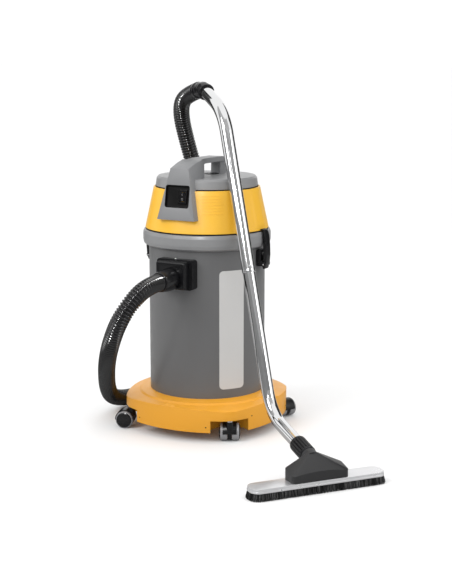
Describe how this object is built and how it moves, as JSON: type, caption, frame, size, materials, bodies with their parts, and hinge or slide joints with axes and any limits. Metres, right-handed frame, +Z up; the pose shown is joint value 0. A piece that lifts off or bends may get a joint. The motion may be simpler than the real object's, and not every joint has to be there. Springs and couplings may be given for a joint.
{
  "type": "wet and dry vacuum cleaner",
  "caption": "Round tank vacuum on a caster dolly, motor head with carrying handle and rocker switch, corrugated hose, bent chrome wand and wide brush floor tool.",
  "frame": {"origin": "on the floor, on the axis of the tank", "axes": "+Z up; -Y towards the hose inlet and the switch panel; +Y towards the cable gland; +X towards the floor tool's side"},
  "size_m": [1.0238, 0.9429, 1.0099],
  "materials": {
    "yellow_plastic": "moulded, fine satin",
    "tank_grey": "satin",
    "label_plate": "blank label film",
    "light_grey_plastic": "moulded, fine satin",
    "handle_grey": "moulded, matte",
    "black_rubber": "matte",
    "black_plastic": "moulded, satin",
    "gloss_black_plastic": "gloss",
    "motor_case": "painted",
    "motor_iron": "laminated",
    "motor_steel": "turned",
    "fan_aluminium": "stamped",
    "white_plastic": "moulded",
    "filter_cloth": "woven",
    "bright_steel": "polished",
    "hose_black": "corrugated, satin",
    "chromed_tube": "polished",
    "charcoal_plastic": "moulded, satin",
    "strip_aluminium": "satin anodised",
    "bristle_fibre": "dense fibre",
    "wheel_plastic": "moulded, satin"
  },
  "bodies": {
    "vacuum": {"dolly_base": "yellow_plastic", "head_skirt": "yellow_plastic", "tank": "tank_grey", "tank_label": "label_plate", "tank_collar": "light_grey_plastic", "head_cap": "light_grey_plastic", "carry_handle": "handle_grey", "head_gasket": "black_rubber", "cap_seal": "black_rubber", "motor_plate": "black_plastic", "motor_housing": "motor_case", "motor_stator": "motor_iron", "switch_bezel": "gloss_black_plastic", "intake_mesh": "black_plastic", "float_cage": "white_plastic", "filter_ring": "black_plastic", "cloth_filter": "filter_cloth", "inlet_housing": "gloss_black_plastic", "inlet_screw": "bright_steel", "inlet_deflector": "black_plastic", "inlet_cuff": "gloss_black_plastic", "hose": "hose_black", "wand_cuff": "gloss_black_plastic", "upper_wand": "chromed_tube", "lower_wand": "chromed_tube", "latch_brackets": "black_plastic", "latch_pins": "bright_steel", "cable_gland": "black_plastic"},
    "motor_rotor": {"motor_armature": "motor_steel", "suction_impeller": "fan_aluminium", "cooling_fan": "white_plastic"},
    "float": {"float_ball": "white_plastic"},
    "rocker": {"switch_rocker": "gloss_black_plastic"},
    "latch_right": {"latch_lever_right": "black_plastic", "latch_hook_right": "black_plastic"},
    "latch_left": {"latch_lever_left": "black_plastic", "latch_hook_left": "black_plastic"},
    "wand_lock": {"wand_button": "bright_steel"},
    "floor_tool": {"tool_collar": "charcoal_plastic", "tool_body": "charcoal_plastic", "tool_strip": "strip_aluminium", "tool_bristles": "bristle_fibre"},
    "caster_front": {"caster_hood_front": "black_plastic", "caster_stem_front": "bright_steel"},
    "wheel_front_a": {"caster_wheel_front_a": "wheel_plastic"},
    "wheel_front_b": {"caster_wheel_front_b": "wheel_plastic"},
    "caster_right": {"caster_hood_right": "black_plastic", "caster_stem_right": "bright_steel"},
    "wheel_right_a": {"caster_wheel_right_a": "wheel_plastic"},
    "wheel_right_b": {"caster_wheel_right_b": "wheel_plastic"},
    "caster_back": {"caster_hood_back": "black_plastic", "caster_stem_back": "bright_steel"},
    "wheel_back_a": {"caster_wheel_back_a": "wheel_plastic"},
    "wheel_back_b": {"caster_wheel_back_b": "wheel_plastic"},
    "caster_left": {"caster_hood_left": "black_plastic", "caster_stem_left": "bright_steel"},
    "wheel_left_a": {"caster_wheel_left_a": "wheel_plastic"},
    "wheel_left_b": {"caster_wheel_left_b": "wheel_plastic"}
  },
  "joints": [
    {"name": "motor_spin", "type": "hinge", "parent": "vacuum", "child": "motor_rotor", "pos_m": [0, 0, 0.65], "axis": [0, 0, 1], "continuous": true},
    {"name": "float_rise", "type": "slide", "parent": "vacuum", "child": "float", "axis": [0, 0, 1], "range_m": [0, 0.025]},
    {"name": "rocker_tilt", "type": "hinge", "parent": "vacuum", "child": "rocker", "pos_m": [0.0147, -0.16698, 0.69334], "axis": [1, 0, 0], "range_deg": [-14, 0]},
    {"name": "latch_right_swing", "type": "hinge", "parent": "vacuum", "child": "latch_right", "pos_m": [0.1935, 0, 0.493], "axis": [0, 1, 0], "range_deg": [0, 60]},
    {"name": "latch_left_swing", "type": "hinge", "parent": "vacuum", "child": "latch_left", "pos_m": [-0.1935, 0, 0.493], "axis": [0, -1, 0], "range_deg": [0, 60]},
    {"name": "wand_lock_press", "type": "slide", "parent": "vacuum", "child": "wand_lock", "axis": [-0.7245, 0.5732, -0.3827], "range_m": [0, 0.003], "stiffness_N_per_m": 400},
    {"name": "tool_twist", "type": "hinge", "parent": "vacuum", "child": "floor_tool", "pos_m": [0.45739, -0.34184, 0.093], "axis": [-0.7658, 0.6059, 0.2156], "continuous": true},
    {"name": "swivel_front", "type": "hinge", "parent": "vacuum", "child": "caster_front", "pos_m": [0.16405, -0.16405, 0.06], "axis": [0, 0, 1], "continuous": true},
    {"name": "roll_front_a", "type": "hinge", "parent": "caster_front", "child": "wheel_front_a", "pos_m": [0.15498, -0.14735, 0.0255], "axis": [-0.8788, -0.4772, 0], "continuous": true},
    {"name": "roll_front_b", "type": "hinge", "parent": "caster_front", "child": "wheel_front_b", "pos_m": [0.15498, -0.14735, 0.0255], "axis": [-0.8788, -0.4772, 0], "continuous": true},
    {"name": "swivel_right", "type": "hinge", "parent": "vacuum", "child": "caster_right", "pos_m": [0.16405, 0.16405, 0.06], "axis": [0, 0, 1], "continuous": true},
    {"name": "roll_right_a", "type": "hinge", "parent": "caster_right", "child": "wheel_right_a", "pos_m": [0.18102, 0.15551, 0.0255], "axis": [0.4493, 0.8934, 0], "continuous": true},
    {"name": "roll_right_b", "type": "hinge", "parent": "caster_right", "child": "wheel_right_b", "pos_m": [0.18102, 0.15551, 0.0255], "axis": [0.4493, 0.8934, 0], "continuous": true},
    {"name": "swivel_back", "type": "hinge", "parent": "vacuum", "child": "caster_back", "pos_m": [-0.16405, 0.16405, 0.06], "axis": [0, 0, 1], "continuous": true},
    {"name": "roll_back_a", "type": "hinge", "parent": "caster_back", "child": "wheel_back_a", "pos_m": [-0.16735, 0.18276, 0.0255], "axis": [-0.9848, -0.1736, 0], "continuous": true},
    {"name": "roll_back_b", "type": "hinge", "parent": "caster_back", "child": "wheel_back_b", "pos_m": [-0.16735, 0.18276, 0.0255], "axis": [-0.9848, -0.1736, 0], "continuous": true},
    {"name": "swivel_left", "type": "hinge", "parent": "vacuum", "child": "caster_left", "pos_m": [-0.16405, -0.16405, 0.06], "axis": [0, 0, 1], "continuous": true},
    {"name": "roll_left_a", "type": "hinge", "parent": "caster_left", "child": "wheel_left_a", "pos_m": [-0.1819, -0.17055, 0.0255], "axis": [0.342, -0.9397, 0], "continuous": true},
    {"name": "roll_left_b", "type": "hinge", "parent": "caster_left", "child": "wheel_left_b", "pos_m": [-0.1819, -0.17055, 0.0255], "axis": [0.342, -0.9397, 0], "continuous": true}
  ]
}
